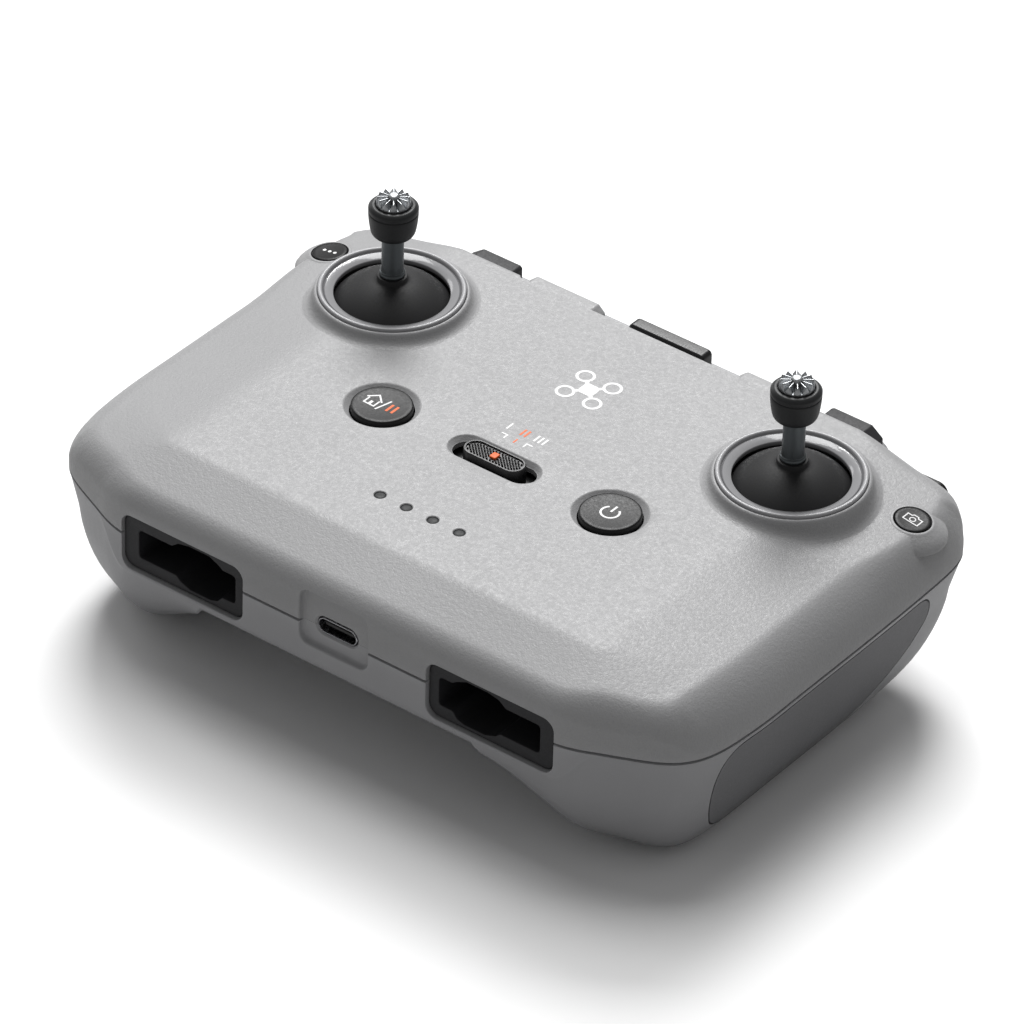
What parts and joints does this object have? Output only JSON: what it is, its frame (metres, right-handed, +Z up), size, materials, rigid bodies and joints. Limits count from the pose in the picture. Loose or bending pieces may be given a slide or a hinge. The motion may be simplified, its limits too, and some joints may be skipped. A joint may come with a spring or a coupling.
{
  "type": "radio transmitter controller",
  "caption": "Handheld radio transmitter with twin self-centring sticks, push buttons, a mode slide, rubber-sided grips, stick storage slots and a pull-out phone clamp.",
  "frame": {"origin": "centre of the footprint, on the plane the two grips rest on", "axes": "+X to the user's right, +Y away from the user towards the phone clamp, +Z up out of the top face"},
  "size_m": [0.15, 0.1042, 0.0662],
  "materials": {
    "shell_top": "fine grained matte",
    "shell_low": "smooth satin",
    "panel_dark": "soft touch",
    "rubber": "matte",
    "black_plastic": "satin",
    "grey_plastic": "satin",
    "button_black": "satin",
    "bezel": "polished",
    "steel": "plated",
    "stick_metal": "anodised",
    "tip_metal": "machined",
    "board": "solder mask",
    "cell_wrap": "shrink wrap",
    "clear": "diffusing",
    "antenna": "gilt"
  },
  "bodies": {
    "body": {"top_shell": "shell_top", "bottom_shell": "shell_low", "grip_pad_left": "panel_dark", "grip_pad_right": "panel_dark", "stick_ring_left": "bezel", "stick_ring_right": "bezel", "storage_insert_left": "rubber", "storage_insert_right": "rubber", "usb_receptacle": "steel", "usb_tongue": "black_plastic", "main_board": "board", "board_chips": "black_plastic", "rf_shield": "steel", "tact_switches": "black_plastic", "shoulder_boards": "board", "mode_switch_base": "steel", "led_light_guide": "clear", "battery_cell_left": "cell_wrap", "battery_cell_right": "cell_wrap", "battery_links": "steel", "case_screws": "steel", "board_screws": "steel", "gimbal_screws": "steel", "holder_rails": "black_plastic", "gimbal_housing_left": "black_plastic", "gimbal_housing_right": "black_plastic", "dial_shaft": "steel", "dial_bracket": "black_plastic"},
    "phone_holder": {"holder_plate": "grey_plastic", "clamp_bar": "shell_top", "clamp_cover": "shell_low", "clamp_pad_left": "rubber", "clamp_pad_right": "rubber", "antenna_left": "antenna", "antenna_right": "antenna"},
    "phone_lead": {"phone_plug": "black_plastic", "phone_plug_tip": "steel"},
    "ring_left": {"gimbal_ring_left": "stick_metal"},
    "carrier_left": {"gimbal_dome_left": "black_plastic"},
    "stick_left": {"stick_shaft_left": "stick_metal", "stick_knob_left": "rubber", "stick_tip_left": "tip_metal"},
    "ring_right": {"gimbal_ring_right": "stick_metal"},
    "carrier_right": {"gimbal_dome_right": "black_plastic"},
    "stick_right": {"stick_shaft_right": "stick_metal", "stick_knob_right": "rubber", "stick_tip_right": "tip_metal"},
    "power_button": {"power_button": "button_black"},
    "home_button": {"home_button": "button_black"},
    "function_button": {"function_button": "button_black"},
    "photo_button": {"photo_button": "button_black"},
    "shutter_button": {"shutter_button": "button_black"},
    "mode_cap": {"mode_cap": "black_plastic"},
    "gimbal_dial": {"gimbal_dial": "black_plastic"}
  },
  "joints": [
    {"name": "holder_slide", "type": "slide", "parent": "body", "child": "phone_holder", "axis": [0, 1, 0], "range_m": [0, 0.078]},
    {"name": "lead_lift", "type": "slide", "parent": "phone_holder", "child": "phone_lead", "axis": [0, 0, 1], "range_m": [0, 0.02]},
    {"name": "left_stick_fore_aft", "type": "hinge", "parent": "body", "child": "ring_left", "pos_m": [-0.04636, 0.02296, 0.0333], "axis": [1, 0, 0], "range_deg": [-20, 20], "stiffness_Nm_per_rad": 0.06},
    {"name": "left_stick_sideways", "type": "hinge", "parent": "ring_left", "child": "carrier_left", "pos_m": [-0.04636, 0.02296, 0.0333], "axis": [0, 1, 0], "range_deg": [-20, 20], "stiffness_Nm_per_rad": 0.06},
    {"name": "left_stick_unscrew", "type": "slide", "parent": "carrier_left", "child": "stick_left", "axis": [0, 0, 1], "range_m": [0, 0.02]},
    {"name": "right_stick_fore_aft", "type": "hinge", "parent": "body", "child": "ring_right", "pos_m": [0.04636, 0.02296, 0.0333], "axis": [1, 0, 0], "range_deg": [-20, 20], "stiffness_Nm_per_rad": 0.06},
    {"name": "right_stick_sideways", "type": "hinge", "parent": "ring_right", "child": "carrier_right", "pos_m": [0.04636, 0.02296, 0.0333], "axis": [0, 1, 0], "range_deg": [-20, 20], "stiffness_Nm_per_rad": 0.06},
    {"name": "right_stick_unscrew", "type": "slide", "parent": "carrier_right", "child": "stick_right", "axis": [0, 0, 1], "range_m": [0, 0.02]},
    {"name": "power_button_press", "type": "slide", "parent": "body", "child": "power_button", "axis": [0, 0, -1], "range_m": [0, 0.0007], "stiffness_N_per_m": 150},
    {"name": "home_button_press", "type": "slide", "parent": "body", "child": "home_button", "axis": [0, 0, -1], "range_m": [0, 0.0007], "stiffness_N_per_m": 150},
    {"name": "function_button_press", "type": "slide", "parent": "body", "child": "function_button", "axis": [0.1495, 0, -0.9888], "range_m": [0, 0.0006], "stiffness_N_per_m": 150},
    {"name": "photo_button_press", "type": "slide", "parent": "body", "child": "photo_button", "axis": [-0.1495, 0, -0.9888], "range_m": [0, 0.0006], "stiffness_N_per_m": 150},
    {"name": "shutter_button_press", "type": "slide", "parent": "body", "child": "shutter_button", "axis": [0, -1, 0], "range_m": [0, 0.0007], "stiffness_N_per_m": 150},
    {"name": "mode_select", "type": "slide", "parent": "body", "child": "mode_cap", "axis": [1, 0, 0], "range_m": [-0.0024, 0.0024]},
    {"name": "gimbal_dial_turn", "type": "hinge", "parent": "body", "child": "gimbal_dial", "pos_m": [-0.0615, 0.0415, 0.0332], "axis": [0, 0, 1], "range_deg": [-28, 28], "stiffness_Nm_per_rad": 0.01}
  ]
}
